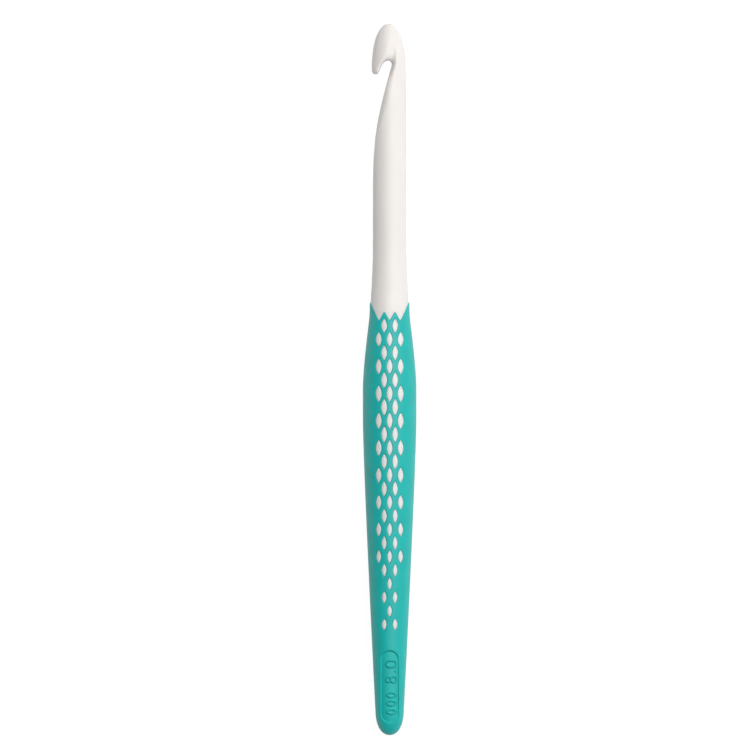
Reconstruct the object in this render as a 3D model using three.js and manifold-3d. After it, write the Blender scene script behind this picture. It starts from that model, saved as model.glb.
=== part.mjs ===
import * as THREE from 'three';
import { mergeVertices } from 'three/addons/utils/BufferGeometryUtils.js';
import Module from 'manifold-3d';

// Crochet hook with a hard polymer core and a soft grip moulded over it. Millimetres.
// It lies on its back: X runs across the mouth, Y along the handle towards the hook, Z up.
// "Station" is the distance along the handle from the butt end. The mouth opens towards -X.

// ---- Overall sizes ----
const LENGTH = 170;
const GAUGE_RADIUS = 4;
const GRIP_RADIUS = 6.4;
const SEGMENTS = 24;

// ---- Handle outline: stations and radii ----
const BUTT_STATION = 5;
const BUTT_RADIUS = 3.36;
const BELLY_START = 76;
const BELLY_END = 82.5;
const SHOULDER_STATION = 98;
const SHOULDER_RADIUS = 5.03;
const SHAFT_START = 116;
const HEAD_START = 152;

// ---- Core inside the grip ----
const TANG_INSET = 1.4;
const POCKET_INSET = 1.25;
const TANG_TOP = 108;
const POCKET_TOP = 105;
const MOULDING_GAP = 0.2;

// ---- Lens windows: rows of two and three in turn, then single ones near the butt ----
const LENS_ROWS = 23;
const LENS_TOP_STATION = 97.7;
const LENS_ROW_PITCH = 3.24;
const LENS_COLUMN_PITCH = 1.31;
const LENS_SINGLE_FROM_ROW = 19;
const LENS_WIDTH_TO_RADIUS = 0.25;
const LENS_LENGTH_TO_RADIUS = 0.68;

// ---- Sawtooth seam between collar and grip ----
const TOOTH_VALLEY = 99.1;
const TOOTH_PEAK = 101.3;
const SIDE_PEAK = 103.1;
const SIDE_PEAK_REACH = 4.6;

// ---- Size plate ----
const PLATE_START = 3;
const PLATE_END = 20.3;
const PLATE_HALF_WIDTH = 2.05;
const PLATE_DEPTH = 0.35;

// ---- Hook head: station, reach towards the mouth, reach towards the back, half thickness ----
const HEAD_SECTIONS = [
  [HEAD_START, GAUGE_RADIUS, GAUGE_RADIUS, GAUGE_RADIUS],
  [156, 4.1, 3.92, 3.9],
  [159, 4.3, 3.84, 3.75],
  [162, 4.14, 3.68, 3.45],
  [164.5, 3.88, 3.4, 3.0],
  [166.5, 3.32, 2.85, 2.45],
  [168, 2.65, 2.1, 1.85],
  [169.2, 1.85, 1.15, 1.15],
  [169.8, 1.1, 0.4, 0.6],
  [LENGTH, 0.29, -0.29, 0],
];

const FAR = 12;
const CURVE_STEPS = 5;
const LENS_STEPS = 2;

const wasm = await Module();
wasm.setup();

// ---- Solids from geometry and back ----

function toSolid(geometry) {
  geometry.deleteAttribute('normal');
  geometry.deleteAttribute('uv');
  const merged = mergeVertices(geometry, 1e-5);
  const corners = merged.index.array;
  const triangles = [];
  for (let i = 0; i < corners.length; i += 3) {
    const [a, b, c] = corners.slice(i, i + 3);
    if (a !== b && b !== c && c !== a) triangles.push(a, b, c);
  }
  return new wasm.Manifold(new wasm.Mesh({
    numProp: 3,
    vertProperties: merged.attributes.position.array,
    triVerts: new Uint32Array(triangles),
  }));
}

function toGeometry(solid) {
  const mesh = solid.getMesh();
  const geometry = new THREE.BufferGeometry();
  geometry.setAttribute('position', new THREE.BufferAttribute(mesh.vertProperties, 3));
  geometry.setIndex(new THREE.BufferAttribute(mesh.triVerts, 1));
  geometry.computeVertexNormals();
  return geometry;
}

// The lathe's facets are turned so that one faces straight down, and its flat is at the true radius.
function turned(profile) {
  const circumscribe = 1 / Math.cos(Math.PI / SEGMENTS);
  const points = profile.map((point) => new THREE.Vector2(point.x * circumscribe, point.y));
  return new THREE.LatheGeometry(points, SEGMENTS, Math.PI / SEGMENTS);
}

// Shapes are drawn as X against station and cut right through the handle.
function throughCut(shapes, curveSegments = CURVE_STEPS) {
  const options = { depth: 2 * FAR, bevelEnabled: false, curveSegments };
  const geometry = new THREE.ExtrudeGeometry(shapes, options);
  geometry.translate(0, 0, -FAR);
  return toSolid(geometry);
}

// ---- Outlines ----

// Radius against station from the butt to the shoulder, moved inwards by inset.
function handlePath(inset) {
  const path = new THREE.Path();
  path.moveTo(0, inset);
  path.bezierCurveTo(2.4 - inset, inset, 3.25 - inset, 3, BUTT_RADIUS - inset, BUTT_STATION);
  path.bezierCurveTo(3.87 - inset, 14.4, GRIP_RADIUS - inset, 65.5, GRIP_RADIUS - inset, BELLY_START);
  path.lineTo(GRIP_RADIUS - inset, BELLY_END);
  path.bezierCurveTo(
    GRIP_RADIUS - inset, 87.2, 5.38 - inset, 96.3, SHOULDER_RADIUS - inset, SHOULDER_STATION,
  );
  path.bezierCurveTo(
    4.74 - inset, 101.2, GAUGE_RADIUS - inset, 109, GAUGE_RADIUS - inset, SHAFT_START,
  );
  return path;
}

// A lathe profile that starts and ends on the axis, closed square at the given station.
function closedProfile(inset, top) {
  const points = handlePath(inset).getPoints(CURVE_STEPS).filter((point) => point.y < top);
  const radius = radiusAt(top) - inset;
  return [...points, new THREE.Vector2(radius, top), new THREE.Vector2(0, top)];
}

function radiusAt(station) {
  const points = handlePath(0).getPoints(4 * CURVE_STEPS);
  const next = points.findIndex((point) => point.y >= station);
  const before = points[Math.max(next - 1, 0)];
  const after = points[next];
  return THREE.MathUtils.mapLinear(station, before.y, after.y, before.x, after.x);
}

// A pointed lens with slightly full sides.
function lensShape(x, station, width, length) {
  const shape = new THREE.Shape();
  const shoulder = 0.14 * length;
  shape.moveTo(x, station + length / 2);
  shape.quadraticCurveTo(x - width / 2, station + shoulder, x - width / 2, station);
  shape.quadraticCurveTo(x - width / 2, station - shoulder, x, station - length / 2);
  shape.quadraticCurveTo(x + width / 2, station - shoulder, x + width / 2, station);
  shape.quadraticCurveTo(x + width / 2, station + shoulder, x, station + length / 2);
  return shape;
}

function lensColumns(row) {
  if (row % 2 === 0) return [-1, 1];
  return row >= LENS_SINGLE_FROM_ROW ? [0] : [-2, 0, 2];
}

function lensShapes(growth) {
  const shapes = [];
  for (let row = 0; row < LENS_ROWS; row += 1) {
    const station = LENS_TOP_STATION - row * LENS_ROW_PITCH;
    const width = LENS_WIDTH_TO_RADIUS * radiusAt(station) + growth;
    const length = LENS_LENGTH_TO_RADIUS * radiusAt(station) + 2 * growth;
    for (const column of lensColumns(row)) {
      shapes.push(lensShape(column * LENS_COLUMN_PITCH, station, width, length));
    }
  }
  return shapes;
}

// Everything on the hook's side of the sawtooth seam.
function aboveSeamShape(drop) {
  const shape = new THREE.Shape();
  const teeth = [
    [SIDE_PEAK_REACH, SIDE_PEAK],
    [2 * LENS_COLUMN_PITCH, TOOTH_VALLEY],
    [LENS_COLUMN_PITCH, TOOTH_PEAK],
    [0, TOOTH_VALLEY],
    [-LENS_COLUMN_PITCH, TOOTH_PEAK],
    [-2 * LENS_COLUMN_PITCH, TOOTH_VALLEY],
    [-SIDE_PEAK_REACH, SIDE_PEAK],
  ];
  shape.moveTo(FAR, LENGTH + FAR);
  shape.lineTo(-FAR, LENGTH + FAR);
  shape.lineTo(-FAR, SIDE_PEAK - drop);
  for (const [x, station] of teeth.reverse()) shape.lineTo(x, station - drop);
  shape.lineTo(FAR, SIDE_PEAK - drop);
  return shape;
}

function throatShape() {
  const shape = new THREE.Shape();
  shape.moveTo(-FAR, 130);
  shape.lineTo(-4.05, 130);
  shape.bezierCurveTo(-4, 143, -3.5, 145.5, 0.5, 160);
  shape.bezierCurveTo(0.62, 160.8, 0.1, 161.2, -0.45, 161.2);
  shape.bezierCurveTo(-1.4, 161.2, -2.1, 160.1, -2.7, 158.5);
  shape.bezierCurveTo(-2.85, 158.1, -3.1, 158, -3.4, 158);
  shape.quadraticCurveTo(-4.1, 158, -4.5, 158.9);
  shape.lineTo(-FAR, 158.9);
  return shape;
}

function plateShape() {
  const shape = new THREE.Shape();
  shape.absarc(0, PLATE_START + PLATE_HALF_WIDTH, PLATE_HALF_WIDTH, Math.PI, 2 * Math.PI);
  shape.absarc(0, PLATE_END - PLATE_HALF_WIDTH, PLATE_HALF_WIDTH, 0, Math.PI);
  return shape;
}

// ---- Solids ----

function headSectionAt(station) {
  const next = Math.max(HEAD_SECTIONS.findIndex((section) => section[0] > station - 1e-4), 1);
  const before = HEAD_SECTIONS[next - 1];
  const after = HEAD_SECTIONS[next];
  return before.map((value, i) => THREE.MathUtils.mapLinear(station, before[0], after[0], value, after[i]));
}

// The round blank from butt to hook tip, its head drawn out sideways to the beak and the back.
function coreBlank() {
  const handle = handlePath(0).getPoints(CURVE_STEPS);
  const head = HEAD_SECTIONS.map((section) => new THREE.Vector2(section[3], section[0]));
  const geometry = turned([...handle, ...head]);
  const position = geometry.attributes.position;
  for (let i = 0; i < position.count; i += 1) {
    const station = position.getY(i);
    if (station > HEAD_START + 1e-3) {
      const [, mouthReach, backReach, thickness] = headSectionAt(station);
      const stretch = thickness > 0 ? (mouthReach + backReach) / 2 / thickness : 0;
      position.setX(i, (backReach - mouthReach) / 2 + position.getX(i) * stretch);
    }
  }
  return toSolid(geometry);
}

function hookCore() {
  const visible = coreBlank().intersect(throughCut(aboveSeamShape(0)));
  const tang = toSolid(turned(closedProfile(TANG_INSET, TANG_TOP)));
  const gripBlank = toSolid(turned(closedProfile(0, POCKET_TOP)));
  const studs = throughCut(lensShapes(0), LENS_STEPS).intersect(gripBlank);
  return visible.subtract(throughCut(throatShape())).add(tang).add(studs);
}

function platePocket() {
  const options = { depth: FAR, bevelEnabled: false, curveSegments: CURVE_STEPS };
  const plate = toSolid(new THREE.ExtrudeGeometry(plateShape(), options));
  return plate.subtract(toSolid(turned(closedProfile(PLATE_DEPTH, POCKET_TOP))));
}

function softGrip() {
  const blank = toSolid(turned(closedProfile(0, POCKET_TOP)));
  const pocket = toSolid(turned(closedProfile(POCKET_INSET, POCKET_TOP + 1)));
  const windows = throughCut(lensShapes(MOULDING_GAP), LENS_STEPS);
  return blank
    .subtract(throughCut(aboveSeamShape(MOULDING_GAP)))
    .subtract(pocket)
    .subtract(windows)
    .subtract(platePocket());
}

// ---- Assembly ----

function part(name, solid, material) {
  const mesh = new THREE.Mesh(toGeometry(solid), new THREE.MeshStandardMaterial(material));
  mesh.name = name;
  return mesh;
}

const crochetHook = new THREE.Group();
crochetHook.add(
  part('hook_core', hookCore(), { color: 0xf3f0ec, roughness: 0.35, metalness: 0 }),
  part('soft_grip', softGrip(), { color: 0x17a9a4, roughness: 0.7, metalness: 0 }),
);
crochetHook.position.set(0, -LENGTH / 2, GRIP_RADIUS);

export default crochetHook;
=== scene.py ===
import math

import bmesh
import bpy
import numpy as np
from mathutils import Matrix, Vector
from mathutils.geometry import delaunay_2d_cdt


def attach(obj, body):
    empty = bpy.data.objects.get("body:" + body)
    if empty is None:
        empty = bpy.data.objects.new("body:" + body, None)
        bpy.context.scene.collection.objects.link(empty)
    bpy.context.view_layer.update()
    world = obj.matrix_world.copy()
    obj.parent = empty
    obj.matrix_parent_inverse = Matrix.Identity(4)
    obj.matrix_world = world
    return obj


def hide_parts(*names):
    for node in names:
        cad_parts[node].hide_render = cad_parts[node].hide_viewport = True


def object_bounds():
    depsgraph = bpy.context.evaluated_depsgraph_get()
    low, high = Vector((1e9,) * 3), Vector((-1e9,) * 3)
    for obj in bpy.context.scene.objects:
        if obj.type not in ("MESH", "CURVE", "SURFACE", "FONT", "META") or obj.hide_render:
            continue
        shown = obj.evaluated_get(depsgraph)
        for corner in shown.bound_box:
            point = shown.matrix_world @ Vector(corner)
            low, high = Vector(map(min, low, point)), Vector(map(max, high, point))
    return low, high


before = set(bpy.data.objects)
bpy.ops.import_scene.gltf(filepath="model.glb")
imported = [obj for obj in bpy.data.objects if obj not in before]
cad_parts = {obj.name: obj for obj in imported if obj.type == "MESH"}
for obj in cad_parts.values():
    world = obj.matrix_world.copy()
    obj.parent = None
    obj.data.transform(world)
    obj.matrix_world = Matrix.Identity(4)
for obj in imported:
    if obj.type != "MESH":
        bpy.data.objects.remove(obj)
cad_bounds = [list(map(float, corner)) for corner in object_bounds()]

# Lengths are in millimetres until a mesh is built. "Station" is the distance along the handle from
# the butt end. X runs across the mouth, which opens towards -X, and Z up towards the size plate.
MM = 0.001
low_corner, high_corner = cad_bounds
LENGTH = (high_corner[1] - low_corner[1]) / MM
BUTT_Y = low_corner[1] / MM
AXIS_Z = (high_corner[2] + low_corner[2]) / 2 / MM

# ---- Handle outline ----
GAUGE_RADIUS = 4.0
GRIP_RADIUS = 6.4
BUTT_STATION, BUTT_RADIUS = 5.0, 3.36
BELLY_START, BELLY_END = 76.0, 82.5
SHOULDER_STATION, SHOULDER_RADIUS = 98.0, 5.06
COLLAR_RADIUS = 4.88
SHAFT_START = 116.0
LIP_STATION, LIP_RADIUS = 103.4, 4.74
SKIN = 1.22
TANG_INSET = 1.3
SHRINK_GAP = 0.015

# ---- Lens pattern ----
LENS_ROWS = 23
LENS_TOP_STATION = 97.8
LENS_ROW_PITCH = 3.24
LENS_COLUMN_PITCH = 1.31
LENS_SINGLE_FROM_ROW = 19
LENS_SIZE_STATIONS = [26, 38, 65, 80, 98]
LENS_WIDTHS = [1.16, 1.09, 1.37, 1.47, 1.39]
LENS_LENGTHS = [2.75, 3.05, 3.75, 4.05, 3.42]
LENS_FULLNESS = 1.7
LENS_TIP_SOFTNESS = 0.85
LENS_TIP_GROWTH = 2.2
LENS_POINTS = 40
LENS_MARGIN = 0.22
STUD_CROWN = 0.06
# Rings of a rounded edge: how far outside the lens's edge, and how deep below the skin.
WINDOW_EDGE = [(0.22, 0), (0.1, 0.012), (0.03, 0.05), (0, 0.13)]
# Rings of a stud's shoulder: how far inside the lens's edge, and how deep below the crown's foot.
STUD_EDGE = [(0, 0.13), (0.02, 0.04), (0.07, 0)]
CROWN_SCALES = [0.8, 0.55, 0.28]

# ---- Sawtooth seam ----
TOOTH_VALLEY, TOOTH_PEAK, SIDE_PEAK = 98.95, 101.45, 103.1
SIDE_PEAK_REACH = 4.6
MIDDLE_SOFTNESS, VALLEY_SOFTNESS, PEAK_SOFTNESS = 0.15, 0.06, 0.22
SEAM_COLUMNS = 256
# Rings of the grip's top edge: drop below the seam and depth below the skin.
LIP_RINGS = [(0.5, 0), (0.22, 0.015), (0.06, 0.06), (0, 0.14)]

# ---- Size plate ----
PLATE_START, PLATE_END = 3.0, 20.3
PLATE_HALF_WIDTH = 2.15
PLATE_DEPTH = 0.5
NUMERAL_HEIGHT = 0.44
NUMERAL_STROKE = 0.15
NUMERAL_RISE_IN, NUMERAL_RISE_OUT = 0.08, 0.11
# The gauge reads towards the hook: a nought, a dot and an eight, each as (station, towards -X).
NOUGHT = [(17.1, -0.42), (0.78, 1.18), 2.4]
DOT = [(15.3, -1.4), (15.34, -1.4)]
EIGHT = [[(13.4, 0.22), (0.58, 0.54)], [(13.4, -1.0), (0.72, 0.66)]]
MARK_STATIONS = [5.7, 7.7, 9.7]
MARK_OFFSET, MARK_SIZE, MARK_POWER = -0.5, (0.58, 1.1), 1.4
OVAL_POINTS = 41
PLATE_EDGE_STEPS = [-0.12, -0.04, 0.02, 0.13, 0.21]
PLATE_EDGE_DEPTHS = [0, 0.03, 0.12, 0.43, PLATE_DEPTH]
PLATE_PITCH = 0.07
PLATE_ARC_POINTS, PLATE_STRAIGHT_POINTS = 25, 60

# ---- Hook head ----
NET_START, SHAFT_END = 124.0, 123.6
HEAD_REACH, HEAD_OFFSET = 4.07, -0.23
HEAD_THICKNESS = 3.85
TIP_TAPER_START, TIP_TAPER_POWER = 157.0, 2.75
RAMP_ROUNDING, BEAK_ROUNDING = 1.8, 0.9
SCOOP_DEPTH, SCOOP_WALL, SCOOP_REACH = 0.72, 1.3, 2.4
FLANK_STATION, FLANK_REACH = 168.0, 2.42
FLANK_ANGLE, FLANK_ROUNDING = math.radians(31), 0.2
SHIFT_SPAN = (150, 159)
SCOOP_RISE, SCOOP_FALL = (156, 160.5), (161, 167)
SCOOP_FLAT, SCOOP_FULL = 0.15, 0.8
BEAK_SPAN, BEAK_EDGE = (152, 157), (-1.6, 0.4)
ROUNDING_PER_DEPTH, LEAST_ROUNDING = 0.9, 0.02

# ---- Hook head's net ----
HEAD_PITCH = 0.15
HEAD_HALF_SPAN = 4.7
SHAFT_SPAN, NECK_SPAN = (146, 0.5), (154, 0.26)
TIP_MARGIN = 0.4
THROAT_GRID = 0.05
THROAT_X = (-6.5, 5.5)
THROAT_TOP = 168
RAMP_POINTS = 40
OPEN_SIDE = -7
FIRST_PULLS, RELAX_ROUNDS, RELAX_PULLS = 3, 3, 2
SLOPE_STEP, LONGEST_MOVE = 0.01, 0.15

# ---- Mesh spacing ----
FLAT_SCALE = 5.0
GRIP_PITCH = 0.45
POCKET_PITCH = 0.9
BUTT_COLUMNS = 64
BUTT_RING, POCKET_RING = 2.0, 3.4
DOME_SHARES = [0.02, 0.06, 0.13, 0.23, 0.36, 0.52, 0.7, 0.86, 1]
ROW_SQUEEZE, LEAST_RADIUS = 0.87, 1.5
GRIP_CLEARANCE, SEAM_CLEARANCE, PLATE_CLEARANCE = 0.12, 0.25, 0.3
HIDDEN_LENS_CLEARANCE, HIDDEN_SEAM_CLEARANCE = 0.3, 0.6
SEAM_UNDERCUT = 0.06
COLLAR_EDGE_SHARES = [0.002, 0.008, 0.02]
SHAFT_ROWS = 26
WELD = 1e-4
SHARP_DEGREES = 50
RIGHT_ANGLE = math.pi / 2

# ---- Camera, floor and light, in metres apart from what the camera frames ----
FRAME_WIDTH = 179.2
FRAME_CENTRE = (-3.49, 1.05)
CAMERA_DISTANCE = 2.5
SENSOR_WIDTH_MM = 36
FLOOR_HALF = 12
FLOOR_TONES = [(0.07, 0.07, 0.07), (0.09, 0.09, 0.09)]
FLOOR_GLOW = 0.96
WHITE = (1, 1, 1, 1)
WORLD_STRENGTH = 0.08
# Each light: name, place, what it points at, size and watts.
LIGHTS = [
    ("overhead", (0.34, 0.32, 1.12), (0, 0, 0), (0.8, 0.8), 14.9),
    ("side", (0.85, 0.1, 0.42), (0, 0, 0.006), (0.3, 0.9), 0.8),
]

# ---- Material colours, as the two tones that each mottle runs between ----
POLYMER_TONES = [(0.83, 0.8, 0.77), (0.85, 0.82, 0.79)]
POLYMER_ROUGHNESS = (0.5, 0.58)
ELASTOMER_TONES = [(0.0, 0.445, 0.415), (0.0, 0.485, 0.45)]
ELASTOMER_ROUGHNESS = (0.5, 0.6)


# ---------------------------------------------------------------- curves

def cubic(points, steps=160):
    """Points along a cubic Bezier curve."""
    a, b, c, d = (np.array(p, float) for p in points)
    t = np.linspace(0, 1, steps)[:, None]
    return (1 - t) ** 3 * a + 3 * (1 - t) ** 2 * t * b + 3 * (1 - t) * t ** 2 * c + t ** 3 * d


def smoothstep(low, high, value):
    """A smooth rise from 0 at low to 1 at high."""
    t = np.clip((value - low) / (high - low), 0, 1)
    return t * t * (3 - 2 * t)


def butt_and_belly(inset):
    """The outline from the butt to the belly as (radius, station). An inset moves only the butt up."""
    butt = (BUTT_RADIUS, BUTT_STATION)
    return [
        cubic([(inset, inset), (2.4, inset), (3.25, 3), butt]),
        cubic([butt, (3.87, 14.4), (GRIP_RADIUS, 65.5), (GRIP_RADIUS, BELLY_START)]),
    ]


def grip_outline(inset=0):
    """The grip's outline as (stations, radii). Moved in, it gives the pocket and the tang."""
    shoulder = (SHOULDER_RADIUS, SHOULDER_STATION)
    return as_outline([
        *butt_and_belly(inset),
        cubic([(GRIP_RADIUS, BELLY_END), (GRIP_RADIUS, 87.2), (5.42, 95), shoulder]),
        cubic([shoulder, (4.88, 99.5), (LIP_RADIUS, 100.4), (LIP_RADIUS, LIP_STATION)]),
    ], inset)


def collar_outline():
    """The hard core's outline where it shows, from inside the grip's teeth up to the round shaft."""
    foot, top = (COLLAR_RADIUS, SHOULDER_STATION), (GAUGE_RADIUS, SHAFT_START)
    return as_outline([cubic([foot, (4.72, 101), (4.1, 108.6), top])], 0)


def as_outline(curves, inset):
    """Joined curves as (stations, radii), each radius moved in by inset."""
    curve = np.vstack(curves)
    return curve[:, 1], np.maximum(curve[:, 0] - inset, 0)


def radius_function(outline):
    """The outline's radius as a function of the station."""
    stations, radii = outline
    return lambda station: np.interp(station, stations, radii)


grip_radius = radius_function(grip_outline())
pocket_radius = radius_function(grip_outline(SKIN))
tang_radius = radius_function(grip_outline(TANG_INSET))
core_radius = radius_function(collar_outline())


def seam_at(x):
    """The station of the sawtooth seam where the front view sees it at x."""
    def corner(offset, softness):
        return np.sqrt((x - offset) ** 2 + softness ** 2)

    pitch = LENS_COLUMN_PITCH
    tooth_slope = (TOOTH_PEAK - TOOTH_VALLEY) / pitch
    side_slope = (SIDE_PEAK - TOOTH_VALLEY) / (SIDE_PEAK_REACH - 2 * pitch)
    rise = tooth_slope * corner(0, MIDDLE_SOFTNESS)
    rise -= tooth_slope * (corner(pitch, PEAK_SOFTNESS) + corner(-pitch, PEAK_SOFTNESS))
    outer = corner(2 * pitch, VALLEY_SOFTNESS) + corner(-2 * pitch, VALLEY_SOFTNESS)
    rise += (tooth_slope + side_slope) / 2 * outer
    return TOOTH_VALLEY + rise - 2 * pitch * side_slope


def seam_stations(theta):
    """The seam's station at each angle round the handle. It is the same on the front and the back."""
    station = np.full_like(theta, TOOTH_VALLEY)
    for _ in range(8):
        station = seam_at(grip_radius(station) * np.sin(theta))
    return station


# ---------------------------------------------------------------- shells

class Shell:
    """One closed skin, gathered ring by ring, in millimetres about the handle's axis."""

    def __init__(self):
        self.points = []
        self.faces = []

    def add(self, x, station, z):
        start = len(self.points)
        x, station, z = np.broadcast_arrays(x, station, z)
        self.points.extend(np.stack([x, station, z], -1).reshape(-1, 3).tolist())
        return np.arange(start, len(self.points))

    def ring(self, radius, station, columns):
        """A ring round the axis, from straight up, with a station that may differ by column."""
        turn = column_angles(columns)
        return self.add(radius * np.sin(turn), station, radius * np.cos(turn))

    def strip(self, first, second):
        """Quads between two closed rings of the same length."""
        following = np.roll(np.arange(len(first)), -1)
        quads = np.stack([first, first[following], second[following], second], -1)
        self.faces.extend(quads.tolist())

    def stack(self, rings):
        for first, second in zip(rings, rings[1:]):
            self.strip(first, second)

    def close(self, ring, centre):
        """Triangles from a ring to one point."""
        tip = self.add(*centre)[0]
        for a, b in zip(ring, np.roll(ring, -1)):
            self.faces.append([a, b, tip])

    def zip_rings(self, first, second):
        """Triangles between two rings of different lengths, matched by their angle round the axis."""
        a, a_turn = self.by_angle(first)
        b, b_turn = self.by_angle(second)
        i = j = 0
        while i < len(first) or j < len(second):
            if j == len(second) or (i < len(first) and a_turn[i + 1] <= b_turn[j + 1]):
                self.faces.append([a[i], a[i + 1], b[j]])
                i += 1
            else:
                self.faces.append([a[i], b[j + 1], b[j]])
                j += 1

    def by_angle(self, ring):
        points = np.array([self.points[i] for i in ring])
        turn = np.arctan2(points[:, 0], points[:, 2])
        order = np.argsort(turn)
        ids = np.append(ring[order], ring[order[0]])
        return ids, np.append(turn[order], turn[order[0]] + 2 * math.pi)

    def build(self, name, material):
        """The shell as a Blender object, welded, with its faces pointing out."""
        points = (np.array(self.points) + [0, BUTT_Y, AXIS_Z]) * MM
        mesh = bpy.data.meshes.new(name)
        mesh.from_pydata(points.tolist(), [], self.faces)
        work = bmesh.new()
        work.from_mesh(mesh)
        bmesh.ops.remove_doubles(work, verts=work.verts, dist=WELD * MM)
        bmesh.ops.recalc_face_normals(work, faces=work.faces)
        work.to_mesh(mesh)
        open_edges = sum(1 for edge in work.edges if len(edge.link_faces) != 2)
        print(f"{name}: {len(work.verts)} vertices, {len(work.faces)} faces, {open_edges} open edges")
        work.free()
        for polygon in mesh.polygons:
            polygon.use_smooth = True
        mesh.set_sharp_from_angle(angle=math.radians(SHARP_DEGREES))
        mesh.materials.append(material)
        piece = bpy.data.objects.new(name, mesh)
        bpy.context.scene.collection.objects.link(piece)
        return piece


def column_angles(columns):
    return np.arange(columns) * 2 * math.pi / columns


def half_of(ring, side):
    """The half of a ring on the front (side 1) or the back (side -1), from -X round to +X."""
    count = len(ring)
    columns = np.arange(-count // 4, count // 4 + 1)
    return ring[columns % count] if side > 0 else ring[(count // 2 - columns) % count]


# ---------------------------------------------------------------- sheets round the handle

def wall_between(shell, low_ring, high_ring, radius, spacing):
    """Points up both sides of the handle between two rings, as {side of X: ids}."""
    sides = {}
    quarter_low, quarter_high = len(low_ring) // 4, len(high_ring) // 4
    for x_side in (1, -1):
        low = shell.points[low_ring[x_side * quarter_low % len(low_ring)]][1]
        high = shell.points[high_ring[x_side * quarter_high % len(high_ring)]][1]
        stations = np.linspace(low, high, int((high - low) / spacing))[1:-1]
        sides[x_side] = shell.add(x_side * radius(stations), stations, 0)
    return sides


def flat_place(shell, ids, radius):
    """Where each point lies when its half of the handle is unrolled flat, seen from straight above."""
    points = np.array([shell.points[i] for i in ids])
    sine = np.clip(points[:, 0] / radius(points[:, 1]), -1, 1)
    return np.stack([np.arcsin(sine) * FLAT_SCALE, points[:, 1]], -1)


def loop_edges(loops):
    """The edges round closed loops whose points follow on, and the number of each point's loop."""
    edges, numbers = [], []
    start = 0
    for number, loop in enumerate(loops):
        local = np.arange(start, start + len(loop))
        edges.extend(zip(local.tolist(), np.roll(local, -1).tolist()))
        numbers.extend([number] * len(loop))
        start += len(loop)
    return edges, numbers


def triangulated(flat, edges):
    """Triangles between points on a flat sheet, which keep the given edges."""
    made = delaunay_2d_cdt([tuple(p) for p in flat], edges, [], 0, 1e-9)
    origin = np.array([found[0] if found else -1 for found in made[3]])
    if (origin < 0).any():
        raise RuntimeError("outlines cross in an unrolled sheet")
    return origin[np.array(made[2])]


def fill_half(shell, side, radius, rings, sides, holes, lines, fill):
    """Triangles over one half of the handle, between a low and a high ring and round the holes."""
    low, high = half_of(rings[0], side), half_of(rings[1], side)
    border = np.concatenate([low, sides[1], high[::-1], sides[-1][::-1]])
    loops = [border, *holes, *lines]
    ids = np.concatenate([*loops, fill])
    edges, numbers = loop_edges(loops)
    loop_of = np.full(len(ids), -1)
    loop_of[:len(numbers)] = numbers
    hole_of = np.where(loop_of <= len(holes), loop_of, -1)
    flat = flat_place(shell, ids, radius)
    triangles = triangulated(flat, edges)
    holes_met = hole_of[triangles]
    in_hole = (holes_met[:, 0] > 0) & (holes_met == holes_met[:, :1]).all(axis=1)
    border_high = flat_place(shell, high, radius)
    centre = flat[triangles].mean(axis=1)
    above = centre[:, 1] > np.interp(centre[:, 0], border_high[:, 0], border_high[:, 1])
    shell.faces.extend(ids[triangles[~in_hole & ~above]].tolist())


def hidden_fill(shell, side, radius):
    """Points over the pocket or the tang, clear of the lenses and the seam."""
    theta, station = staggered(POCKET_RING + 0.5, SIDE_PEAK, POCKET_PITCH, radius)
    x = radius(station) * np.sin(theta)
    clear = ~near_a_lens(x, station, HIDDEN_LENS_CLEARANCE)
    clear &= station < seam_stations(theta) - HIDDEN_SEAM_CLEARANCE
    z = side * (radius(station) * np.cos(theta))
    return shell.add(x[clear], station[clear], z[clear])


def staggered(low, high, spacing, radius):
    """Points over an unrolled half, spaced evenly and shifted by half a step on every other row."""
    stations, angles = [], []
    for row, station in enumerate(np.arange(low, high, spacing * ROW_SQUEEZE)):
        step = spacing / max(radius(station), LEAST_RADIUS)
        count = int(2 * RIGHT_ANGLE / step)
        step = 2 * RIGHT_ANGLE / count
        row_angles = -RIGHT_ANGLE + step * (np.arange(count) + (0.5 if row % 2 else 1.0))
        angles.append(row_angles[row_angles < RIGHT_ANGLE - 0.4 * step])
        stations.append(np.full(len(angles[-1]), station))
    return np.concatenate(angles), np.concatenate(stations)


# ---------------------------------------------------------------- lens pattern

def lenses():
    """Each lens as its centre (x, station), width and length."""
    found = []
    for row in range(LENS_ROWS):
        station = LENS_TOP_STATION - row * LENS_ROW_PITCH
        columns = [-1, 1] if row % 2 == 0 else [-2, 0, 2]
        if row % 2 and row >= LENS_SINGLE_FROM_ROW:
            columns = [0]
        for column in columns:
            width = np.interp(station, LENS_SIZE_STATIONS, LENS_WIDTHS)
            length = np.interp(station, LENS_SIZE_STATIONS, LENS_LENGTHS)
            found.append((column * LENS_COLUMN_PITCH, station, width, length))
    return found


def lens_outline(lens, growth):
    """The outline of a lens grown by a margin, as x and station."""
    x, station, width, length = lens
    turn = column_angles(LENS_POINTS)
    along = np.sin(turn)
    across = np.sign(np.cos(turn)) * (1 - np.abs(along) ** LENS_FULLNESS) ** LENS_TIP_SOFTNESS
    half_length = length / 2 + growth * LENS_TIP_GROWTH
    return x + (width / 2 + growth) * across, station + half_length * along


def near_a_lens(x, station, margin):
    """Which points are in a lens or within a margin of one."""
    near = np.zeros(np.shape(x), bool)
    for lens_x, lens_station, width, length in lenses():
        across = np.abs(x - lens_x) / (width / 2 + margin)
        along = np.abs(station - lens_station) / (length / 2 + margin * LENS_TIP_GROWTH)
        near |= across + along ** LENS_FULLNESS < 1
    return near


def lens_ring(shell, lens, growth, radius, depth, side):
    """A lens's outline laid on a round surface, at a depth below it."""
    x, station = lens_outline(lens, growth)
    return shell.add(x, station, side * np.sqrt((radius(station) - depth) ** 2 - x ** 2))


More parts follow.
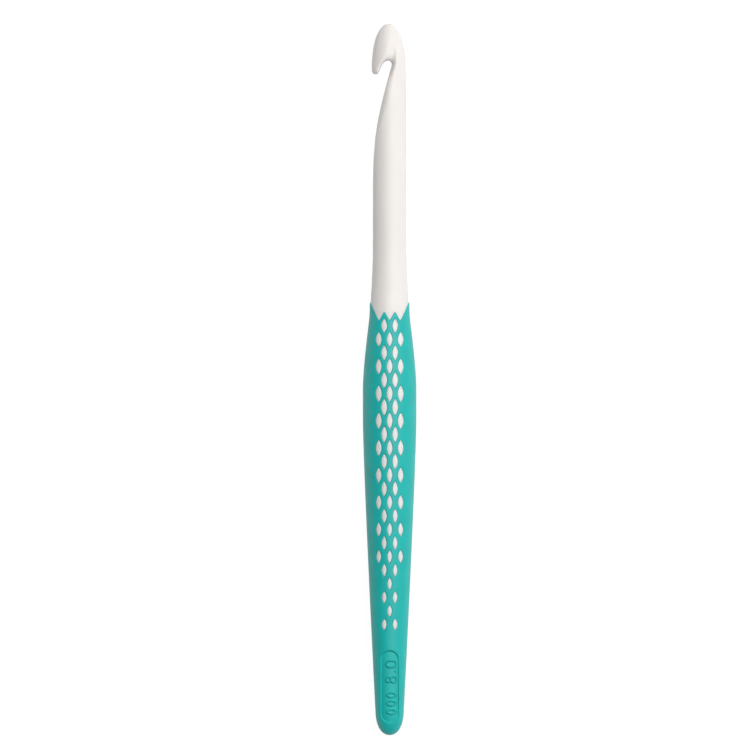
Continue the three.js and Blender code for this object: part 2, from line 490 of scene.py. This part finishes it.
def window(shell, lens, side):
    """A window through the grip with a rounded edge. Returns its rings on the outside and inside."""
    rings = [lens_ring(shell, lens, growth, grip_radius, depth, side) for growth, depth in WINDOW_EDGE]
    rings.append(lens_ring(shell, lens, 0, pocket_radius, 0, side))
    shell.stack(rings)
    return rings[0], rings[-1]


def stud(shell, lens, side):
    """A stud on the tang, with a rounded shoulder and a low crown up to the skin. Returns its foot."""
    x, station, width, length = lens
    rings = [lens_ring(shell, lens, -SHRINK_GAP, tang_radius, 0, side)]
    for shrink, depth in STUD_EDGE:
        rings.append(lens_ring(shell, lens, -SHRINK_GAP - shrink, grip_radius, depth + STUD_CROWN, side))
    for scale in CROWN_SCALES:
        smaller = (x, station, width * scale, length * scale)
        drop = STUD_CROWN * scale ** 2
        rings.append(lens_ring(shell, smaller, -SHRINK_GAP, grip_radius, drop, side))
    shell.stack(rings)
    top = math.sqrt(grip_radius(station) ** 2 - x ** 2)
    shell.close(rings[-1], (x, station, side * top))
    return rings[0]


# ---------------------------------------------------------------- size plate

def plate_inside(x, station):
    """How far a point is inside the plate's edge."""
    low, high = PLATE_START + PLATE_HALF_WIDTH, PLATE_END - PLATE_HALF_WIDTH
    return PLATE_HALF_WIDTH - np.hypot(x, station - np.clip(station, low, high))


def plate_outline(inside):
    """A closed loop at a distance inside the plate's edge, as x and station."""
    radius = PLATE_HALF_WIDTH - inside
    low, high = PLATE_START + PLATE_HALF_WIDTH, PLATE_END - PLATE_HALF_WIDTH
    turn = np.linspace(0, math.pi, PLATE_ARC_POINTS)
    straight = np.linspace(low, high, PLATE_STRAIGHT_POINTS + 2)[1:-1]
    edge = np.full(PLATE_STRAIGHT_POINTS, radius)
    x = np.concatenate([radius * np.cos(turn), -edge, -radius * np.cos(turn), edge])
    station = np.concatenate([
        high + radius * np.sin(turn), straight[::-1], low - radius * np.sin(turn), straight,
    ])
    return x, station


def oval(centre, half_size, power=2.0):
    """A closed stroke round an oval, as points along (station, towards -X)."""
    turn = np.linspace(0, 2 * math.pi, OVAL_POINTS)
    across = np.sign(np.cos(turn)) * np.abs(np.cos(turn)) ** (2 / power)
    up = np.sign(np.sin(turn)) * np.abs(np.sin(turn)) ** (2 / power)
    return np.stack([centre[0] + half_size[0] * across, centre[1] + half_size[1] * up], -1)


def plate_strokes():
    """The raised strokes: the gauge, 8.0, and three lens marks."""
    loops = [oval(*loop) for loop in EIGHT]
    marks = [oval((station, MARK_OFFSET), MARK_SIZE, MARK_POWER) for station in MARK_STATIONS]
    return [oval(*NOUGHT), *loops, np.array(DOT), *marks]


def stroke_distance(x, station):
    """The distance from the middle line of the nearest stroke."""
    place = np.stack([station, -x], -1)[:, None, :]
    nearest = np.full(len(x), np.inf)
    for stroke in plate_strokes():
        start, run = stroke[:-1], np.diff(stroke, axis=0)
        share = np.clip(((place - start) * run).sum(-1) / (run ** 2).sum(-1), 0, 1)
        gap = np.linalg.norm(place - start - share[..., None] * run, axis=-1).min(axis=1)
        nearest = np.minimum(nearest, gap)
    return nearest


def plate_points():
    """The close points that the plate's floor and raised strokes need, as x and station."""
    rows = np.arange(PLATE_START, PLATE_END, PLATE_PITCH)
    columns = np.arange(-PLATE_HALF_WIDTH, PLATE_HALF_WIDTH, PLATE_PITCH)
    x, station = (a.ravel() for a in np.meshgrid(columns, rows))
    x = x + np.where(np.round((station - PLATE_START) / PLATE_PITCH) % 2, PLATE_PITCH / 2, 0)
    inside = plate_inside(x, station)
    clear = inside > PLATE_EDGE_STEPS[-1] + PLATE_PITCH / 2
    return x[clear], station[clear]


# ---------------------------------------------------------------- soft grip

def grip_fill(shell, side, low, high):
    """Points over the grip's skin, clear of the lenses and, on the front, of the plate."""
    theta, station = staggered(low, high, GRIP_PITCH, grip_radius)
    x = grip_radius(station) * np.sin(theta)
    clear = ~near_a_lens(x, station, LENS_MARGIN + GRIP_CLEARANCE)
    clear &= station < seam_stations(theta) - LIP_RINGS[0][0] - SEAM_CLEARANCE
    if side > 0:
        clear &= plate_inside(x, station) < -PLATE_CLEARANCE
    theta, station, x = theta[clear], station[clear], x[clear]
    return shell.add(x, station, side * grip_radius(station) * np.cos(theta))


def plate_fill(shell):
    """Loops and points of the sunk plate on the front."""
    lines = []
    for inside, depth in zip(PLATE_EDGE_STEPS, PLATE_EDGE_DEPTHS):
        x, station = plate_outline(inside)
        lines.append(shell.add(x, station, np.sqrt(grip_radius(station) ** 2 - x ** 2) - depth))
    x, station = plate_points()
    inner, outer = NUMERAL_STROKE - NUMERAL_RISE_IN, NUMERAL_STROKE + NUMERAL_RISE_OUT
    rise = 1 - smoothstep(inner, outer, stroke_distance(x, station))
    surface = np.sqrt(grip_radius(station) ** 2 - x ** 2)
    return lines, shell.add(x, station, surface - PLATE_DEPTH + NUMERAL_HEIGHT * rise)


def domed_end(shell, curve, top, columns):
    """The rounded butt end from its pole to a ring at the given station. Returns the ring."""
    stations, radii = curve
    pole = stations[0]
    steps = pole + (top - pole) * np.array(DOME_SHARES)
    rings = [shell.ring(np.interp(s, stations, radii), s, columns) for s in steps]
    shell.stack(rings)
    shell.close(rings[0], (0, pole, 0))
    return rings[-1]


def grip_lip(shell):
    """The grip's sawtooth top edge, from the skin over to the pocket. Returns its rings."""
    seam = seam_stations(column_angles(SEAM_COLUMNS))
    lip = []
    for drop, depth in LIP_RINGS:
        lip.append(shell.ring(grip_radius(seam - drop) - depth, seam - drop, SEAM_COLUMNS))
    lip.append(shell.ring(pocket_radius(seam), seam, SEAM_COLUMNS))
    shell.stack(lip)
    return lip


def make_grip(material):
    """The soft grip: its skin with the windows and the plate, and the pocket inside it."""
    shell = Shell()
    lip = grip_lip(shell)
    outer_low = domed_end(shell, grip_outline(), BUTT_RING, BUTT_COLUMNS)
    inner_low = domed_end(shell, grip_outline(SKIN), POCKET_RING, BUTT_COLUMNS)
    outer_sides = wall_between(shell, outer_low, lip[0], grip_radius, GRIP_PITCH)
    inner_sides = wall_between(shell, inner_low, lip[-1], pocket_radius, POCKET_PITCH)
    for side in (1, -1):
        rings = [window(shell, lens, side) for lens in lenses()]
        fill = grip_fill(shell, side, BUTT_RING + 0.3, SIDE_PEAK)
        lines = []
        if side > 0:
            lines, close_points = plate_fill(shell)
            fill = np.concatenate([fill, close_points])
        holes = [outside for outside, _ in rings]
        fill_half(shell, side, grip_radius, (outer_low, lip[0]), outer_sides, holes, lines, fill)
        holes = [inside for _, inside in rings]
        fill = hidden_fill(shell, side, pocket_radius)
        fill_half(shell, side, pocket_radius, (inner_low, lip[-1]), inner_sides, holes, [], fill)
    return shell.build("grip_soft_shell", material)


# ---------------------------------------------------------------- hook head

def throat_outline():
    """The open throat in the front view, from the start of the ramp round to the beak's tip."""
    parts = [
        [(-8.0, 126.0)],
        cubic([(-4.02, 126.0), (-4.02, 143.0), (-3.49, 145.55), (0.5, 160.0)], RAMP_POINTS),
        cubic([(0.5, 160.0), (0.66, 160.85), (0.1, 161.2), (-0.45, 161.2)], 10),
        cubic([(-0.45, 161.2), (-1.35, 161.2), (-1.95, 160.1), (-2.45, 158.7)], 16),
        cubic([(-2.45, 158.7), (-2.65, 158.1), (-2.95, 157.88), (-3.4, 157.88)], 8),
        cubic([(-3.4, 157.88), (-3.85, 157.88), (-4.4, 158.0), (-5.2, 158.6)], 8),
        [(-8.0, 160.0)],
    ]
    return np.vstack(parts)


def throat_table():
    """Distances from the throat's edge over a grid in the front view, above zero in the material."""
    line = throat_outline()
    x = np.arange(*THROAT_X, THROAT_GRID)
    station = np.arange(NET_START - 2, THROAT_TOP, THROAT_GRID)
    place = np.stack(np.meshgrid(x, station, indexing="ij"), -1)
    nearest = np.full(place.shape[:2], 1e9)
    crossings = np.zeros(place.shape[:2], int)
    for a, b in zip(line, np.roll(line, -1, axis=0)):
        run = b - a
        share = np.clip(((place - a) * run).sum(-1) / max((run ** 2).sum(), 1e-12), 0, 1)
        if max(a[0], b[0]) > OPEN_SIDE:
            gap = np.linalg.norm(place - a - share[..., None] * run, axis=-1)
            nearest = np.minimum(nearest, gap)
        spans = (a[1] > place[..., 1]) != (b[1] > place[..., 1])
        if a[1] != b[1]:
            reach = a[0] + (place[..., 1] - a[1]) / (b[1] - a[1]) * (b[0] - a[0])
            crossings += spans & (place[..., 0] < reach)
    return x, station, np.where(crossings % 2 == 1, -nearest, nearest)


def table_lookup(table, x, station):
    """Straight-line interpolation in a table over x and station, held at its edges."""
    xs, stations, values = table
    across = np.clip((x - xs[0]) / THROAT_GRID, 0, len(xs) - 1.001)
    along = np.clip((station - stations[0]) / THROAT_GRID, 0, len(stations) - 1.001)
    i, j = across.astype(int), along.astype(int)
    u, v = across - i, along - j
    low = values[i, j] * (1 - u) + values[i + 1, j] * u
    high = values[i, j + 1] * (1 - u) + values[i + 1, j + 1] * u
    return low * (1 - v) + high * v


# The line where the neck's rounded edge runs on up into the head, as (x, station).
RIDGE = cubic([(0.7, 155.0), (1.2, 158.5), (2.35, 162.5), (2.35, 168.0)])


def smooth_max(a, b, softness):
    """The greater of two values, blended where they are closer than softness."""
    return np.maximum(a, b) + np.maximum(softness - np.abs(a - b), 0) ** 2 / (4 * softness)


def scoop_depth(x, station):
    """How deep the scoop beside the ridge is, before it fades out towards the middle."""
    beside = np.interp(station, RIDGE[:, 1], RIDGE[:, 0]) - x
    along = smoothstep(*SCOOP_RISE, station) - smoothstep(*SCOOP_FALL, station)
    fade = np.exp(-np.maximum(beside - SCOOP_WALL, 0) / SCOOP_REACH)
    return SCOOP_DEPTH * along * smoothstep(0, SCOOP_WALL, beside) * fade


def throat_rounding(x, station):
    """How softly the throat's edge is rounded: little where the cut starts, more along the ramp."""
    cut_depth = np.interp(station, THROAT_FLOOR[:, 1], THROAT_FLOOR[:, 0]) + GAUGE_RADIUS
    in_beak = smoothstep(*BEAK_SPAN, station) * (1 - smoothstep(*BEAK_EDGE, x))
    widest = RAMP_ROUNDING + (BEAK_ROUNDING - RAMP_ROUNDING) * in_beak
    return np.clip(ROUNDING_PER_DEPTH * cut_depth, LEAST_ROUNDING, widest)


def head_field(x, station, z):
    """Below zero inside the shaft and head, and about a distance in millimetres near the surface."""
    shift = smoothstep(*SHIFT_SPAN, station)
    reach = GAUGE_RADIUS + (HEAD_REACH - GAUGE_RADIUS) * shift
    thickness = GAUGE_RADIUS + (HEAD_THICKNESS - GAUGE_RADIUS) * shift
    towards_tip = (station - TIP_TAPER_START) / (LENGTH - TIP_TAPER_START)
    taper = np.clip(towards_tip, 0, None) ** TIP_TAPER_POWER
    across = (x - HEAD_OFFSET * shift) / reach
    body = GAUGE_RADIUS * (np.sqrt(across ** 2 + (z / thickness) ** 2 + taper) - 1)
    body = body + scoop_depth(x, station) * smoothstep(SCOOP_FLAT, SCOOP_FULL, np.abs(z) / thickness)
    flank = math.cos(FLANK_ANGLE) * (np.hypot(np.maximum(x - HEAD_OFFSET, 0), z) - FLANK_REACH)
    flank = flank + math.sin(FLANK_ANGLE) * (station - FLANK_STATION)
    body = smooth_max(body, flank, FLANK_ROUNDING)
    return smooth_max(body, -table_lookup(THROAT, x, station), throat_rounding(x, station))


def sliced(spans):
    """An index into a grid that takes the given slice along some axes and all of the others."""
    return tuple(spans.get(axis, slice(None)) for axis in range(3))


def crossings_along(axis, grid, value):
    """Which grid edges along an axis a field's zero surface crosses, and where it crosses them."""
    low, high = sliced({axis: slice(0, -1)}), sliced({axis: slice(1, None)})
    a, b = value[low], value[high]
    crossed = (a < 0) != (b < 0)
    share = np.where(crossed, a / np.where(crossed, a - b, 1), 0)
    place = np.stack([g[low] for g in grid], -1)
    place[..., axis] += share * (grid[axis][high] - grid[axis][low])
    return crossed, place


def quads_across(others, crossed, ids):
    """A quad for each crossed edge, through the points of the four cells round it."""
    at = np.argwhere(crossed[sliced({k: slice(1, -1) for k in others})])
    at[:, others] += 1
    corners = []
    for first, second in ((1, 1), (0, 1), (0, 0), (1, 0)):
        cell = at.copy()
        cell[:, others[0]] -= first
        cell[:, others[1]] -= second
        corners.append(ids[tuple(cell.T)])
    return np.stack(corners, -1)


def surface_net(field, axes):
    """Points and quads where a field crosses zero on a grid, one point to a crossed cell."""
    grid = np.meshgrid(*axes, indexing="ij")
    value = field(*grid)
    cells = [len(axis) - 1 for axis in axes]
    total, count = np.zeros((*cells, 3)), np.zeros(cells)
    edges = []
    for axis in range(3):
        others = [k for k in range(3) if k != axis]
        crossed, place = crossings_along(axis, grid, value)
        for steps in ((0, 0), (0, 1), (1, 0), (1, 1)):
            part = sliced({k: slice(step, cells[k] + step) for k, step in zip(others, steps)})
            total += place[part] * crossed[part][..., None]
            count += crossed[part]
        edges.append((others, crossed))
    ids = np.full(cells, -1)
    used = count > 0
    ids[used] = np.arange(used.sum())
    points = total[used] / count[used][:, None]
    return points, np.vstack([quads_across(others, crossed, ids) for others, crossed in edges])


def pull_on_to(field, points, moves):
    """Moves points on to a field's zero surface along its slope."""
    for _ in range(moves):
        slope = np.zeros_like(points)
        for axis in range(3):
            ahead, behind = points.copy(), points.copy()
            ahead[:, axis] += SLOPE_STEP
            behind[:, axis] -= SLOPE_STEP
            slope[:, axis] = (field(*ahead.T) - field(*behind.T)) / (2 * SLOPE_STEP)
        steepness = np.maximum((slope ** 2).sum(axis=1), 1e-4)
        move = -(field(*points.T) / steepness)[:, None] * slope
        size = np.linalg.norm(move, axis=1, keepdims=True)
        points = points + move * np.minimum(1, LONGEST_MOVE / np.maximum(size, 1e-9))
    return points


def quad_edges(quads):
    return np.vstack([quads[:, [k, (k + 1) % 4]] for k in range(4)])


def relaxed(field, points, quads, rounds):
    """Evens out a net's spacing, keeping its points on the surface."""
    pairs = quad_edges(quads)
    held = open_points(quads)
    for _ in range(rounds):
        total, count = np.zeros_like(points), np.zeros(len(points))
        for a, b in ((0, 1), (1, 0)):
            np.add.at(total, pairs[:, a], points[pairs[:, b]])
            np.add.at(count, pairs[:, a], 1)
        even = 0.5 * points + 0.5 * total / count[:, None]
        even[held] = points[held]
        points = pull_on_to(field, even, RELAX_PULLS)
    return points


def open_points(quads):
    """The points on a net's open border."""
    pairs = np.sort(quad_edges(quads), axis=1)
    unique, count = np.unique(pairs, axis=0, return_counts=True)
    return np.unique(unique[count == 1])


def graded(*spans):
    """Grid lines over (start, end, step) spans that follow on."""
    lines = [np.arange(start, end - step / 2, step) for start, end, step in spans]
    return np.concatenate([*lines, [spans[-1][1]]])


def make_head(shell):
    """The throat, beak and tip as a net. Returns its open ring towards the shaft."""
    shaft_end, shaft_step = SHAFT_SPAN
    neck_end, neck_step = NECK_SPAN
    across = np.arange(-HEAD_HALF_SPAN, HEAD_HALF_SPAN, HEAD_PITCH)
    along = graded(
        (NET_START, shaft_end, shaft_step),
        (shaft_end, neck_end, neck_step),
        (neck_end, LENGTH + TIP_MARGIN, HEAD_PITCH),
    )
    points, quads = surface_net(head_field, [across, along, across])
    points = pull_on_to(head_field, points, FIRST_PULLS)
    points = relaxed(head_field, points, quads, RELAX_ROUNDS)
    ids = shell.add(*points.T)
    shell.faces.extend(ids[quads].tolist())
    return ids[open_points(quads)]


# ---------------------------------------------------------------- hard core

def make_shaft(shell):
    """The collar and shaft, from the tang's top up to the head's net. Returns the first and last ring."""
    seam = seam_stations(column_angles(SEAM_COLUMNS)) + SHRINK_GAP
    rows = [
        shell.ring(tang_radius(seam), seam, SEAM_COLUMNS),
        shell.ring(core_radius(seam) - SEAM_UNDERCUT, seam, SEAM_COLUMNS),
    ]
    for share in np.concatenate([COLLAR_EDGE_SHARES, np.linspace(0.04, 1, SHAFT_ROWS)]):
        station = seam + (SHAFT_END - seam) * share
        rows.append(shell.ring(core_radius(station), station, SEAM_COLUMNS))
    shell.stack(rows)
    return rows[0], rows[-1]


def make_core(material):
    """The hard core: the head, shaft and collar, and the tang with its studs."""
    shell = Shell()
    tang_top, shaft_top = make_shaft(shell)
    shell.zip_rings(shaft_top, make_head(shell))
    tang_low = domed_end(shell, grip_outline(TANG_INSET), POCKET_RING, BUTT_COLUMNS)
    sides = wall_between(shell, tang_low, tang_top, tang_radius, POCKET_PITCH)
    for side in (1, -1):
        feet = [stud(shell, lens, side) for lens in lenses()]
        fill = hidden_fill(shell, side, tang_radius)
        fill_half(shell, side, tang_radius, (tang_low, tang_top), sides, feet, [], fill)
    return shell.build("core_polymer", material)


# ---------------------------------------------------------------- materials

def shader(name):
    """A new material, with its nodes, its links and its surface shader."""
    material = bpy.data.materials.new(name)
    material.use_nodes = True
    nodes = material.node_tree.nodes
    return material, nodes, material.node_tree.links, nodes["Principled BSDF"]


def noise(nodes, links, size_mm, detail=3.0, roughness=0.5):
    """A noise whose grains are about size_mm across, over the object's own coordinates."""
    coordinates = nodes.new("ShaderNodeTexCoord")
    texture = nodes.new("ShaderNodeTexNoise")
    texture.inputs["Scale"].default_value = 1 / (size_mm * MM)
    texture.inputs["Detail"].default_value = detail
    texture.inputs["Roughness"].default_value = roughness
    links.new(coordinates.outputs["Object"], texture.inputs["Vector"])
    return texture.outputs["Fac"]


def ranged(nodes, links, value, low, high):
    """Spreads a noise value over a range."""
    spread = nodes.new("ShaderNodeMapRange")
    spread.inputs["From Min"].default_value = 0.3
    spread.inputs["From Max"].default_value = 0.7
    spread.inputs["To Min"].default_value = low
    spread.inputs["To Max"].default_value = high
    links.new(value, spread.inputs["Value"])
    return spread.outputs["Result"]


def tinted(nodes, links, value, first, second):
    """A colour that runs between two tones with a noise value."""
    blend = nodes.new("ShaderNodeMix")
    blend.data_type = "RGBA"
    blend.inputs["A"].default_value = (*first, 1)
    blend.inputs["B"].default_value = (*second, 1)
    links.new(ranged(nodes, links, value, 0, 1), blend.inputs["Factor"])
    return blend.outputs["Result"]


def bumped(nodes, links, layers):
    """Bumps laid over one another, each (height value, depth in millimetres)."""
    normal = None
    for value, depth in layers:
        bump = nodes.new("ShaderNodeBump")
        bump.inputs["Distance"].default_value = depth * MM
        links.new(value, bump.inputs["Height"])
        if normal is not None:
            links.new(normal, bump.inputs["Normal"])
        normal = bump.outputs["Normal"]
    return normal


def polymer_material():
    """Satin white plastic that lets a little light in."""
    material, nodes, links, surface = shader("pearl_polymer")
    tone = tinted(nodes, links, noise(nodes, links, 6.0), *POLYMER_TONES)
    links.new(tone, surface.inputs["Base Color"])
    satin = ranged(nodes, links, noise(nodes, links, 0.35), *POLYMER_ROUGHNESS)
    links.new(satin, surface.inputs["Roughness"])
    grain = noise(nodes, links, 0.12, detail=2.0)
    waviness = noise(nodes, links, 2.2, detail=1.0)
    links.new(bumped(nodes, links, [(waviness, 0.02), (grain, 0.0025)]), surface.inputs["Normal"])
    surface.inputs["IOR"].default_value = 1.5
    surface.inputs["Subsurface Weight"].default_value = 0.5
    surface.inputs["Subsurface Radius"].default_value = (1.0, 0.85, 0.7)
    surface.inputs["Subsurface Scale"].default_value = 1.2 * MM
    return material


def elastomer_material():
    """Matt soft-touch rubber with a fine grain."""
    material, nodes, links, surface = shader("soft_touch_elastomer")
    tone = tinted(nodes, links, noise(nodes, links, 4.0), *ELASTOMER_TONES)
    links.new(tone, surface.inputs["Base Color"])
    satin = ranged(nodes, links, noise(nodes, links, 0.3), *ELASTOMER_ROUGHNESS)
    links.new(satin, surface.inputs["Roughness"])
    grain = noise(nodes, links, 0.09, detail=4.0, roughness=0.65)
    links.new(bumped(nodes, links, [(grain, 0.012)]), surface.inputs["Normal"])
    surface.inputs["IOR"].default_value = 1.48
    surface.inputs["Specular IOR Level"].default_value = 0.55
    surface.inputs["Sheen Weight"].default_value = 0.05
    surface.inputs["Sheen Roughness"].default_value = 0.5
    return material


def floor_material():
    """A pale floor that glows, so that it stays white under the lights."""
    material, nodes, links, surface = shader("pale_floor")
    tone = tinted(nodes, links, noise(nodes, links, 60.0), *FLOOR_TONES)
    links.new(tone, surface.inputs["Base Color"])
    surface.inputs["Roughness"].default_value = 0.9
    surface.inputs["Emission Color"].default_value = WHITE
    surface.inputs["Emission Strength"].default_value = FLOOR_GLOW
    return material


# ---------------------------------------------------------------- studio

def make_floor():
    half = FLOOR_HALF
    mesh = bpy.data.meshes.new("floor")
    corners = [(-half, -half, 0), (half, -half, 0), (half, half, 0), (-half, half, 0)]
    mesh.from_pydata(corners, [], [(0, 1, 2, 3)])
    mesh.materials.append(floor_material())
    floor = bpy.data.objects.new("floor", mesh)
    bpy.context.scene.collection.objects.link(floor)


def area_light(name, place, target, size, watts):
    """A soft panel that the camera doesn't see."""
    data = bpy.data.lights.new(name, "AREA")
    data.shape = "RECTANGLE"
    data.size, data.size_y = size
    data.energy = watts
    light = bpy.data.objects.new(name, data)
    light.location = place
    light.visible_camera = False
    direction = np.array(target) - np.array(place)
    light.rotation_euler = Vector(direction).to_track_quat("-Z", "Y").to_euler()
    bpy.context.scene.collection.objects.link(light)


def make_studio():
    world = bpy.data.worlds.new("studio")
    world.use_nodes = True
    background = world.node_tree.nodes["Background"]
    background.inputs["Color"].default_value = WHITE
    background.inputs["Strength"].default_value = WORLD_STRENGTH
    bpy.context.scene.world = world
    for light in LIGHTS:
        area_light(*light)
    bpy.context.scene.view_settings.view_transform = "Standard"


def make_camera():
    """Straight above the hook as it lies, with the hook tip up."""
    data = bpy.data.cameras.new("camera")
    data.sensor_width = SENSOR_WIDTH_MM
    data.lens = data.sensor_width * CAMERA_DISTANCE / (FRAME_WIDTH * MM)
    data.clip_start, data.clip_end = 0.01, 10
    camera = bpy.data.objects.new("camera", data)
    camera.location = (FRAME_CENTRE[0] * MM, FRAME_CENTRE[1] * MM, CAMERA_DISTANCE + AXIS_Z * MM)
    bpy.context.scene.collection.objects.link(camera)
    bpy.context.scene.camera = camera


# ---------------------------------------------------------------- the hook

THROAT = throat_table()
# The ramp, from the shaft down to the throat's inner corner.
THROAT_FLOOR = throat_outline()[1:RAMP_POINTS + 1]

make_camera()
make_studio()
make_floor()

core = make_core(polymer_material())
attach(core, "root")
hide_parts("hook_core")

grip = make_grip(elastomer_material())
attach(grip, "root")
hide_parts("soft_grip")
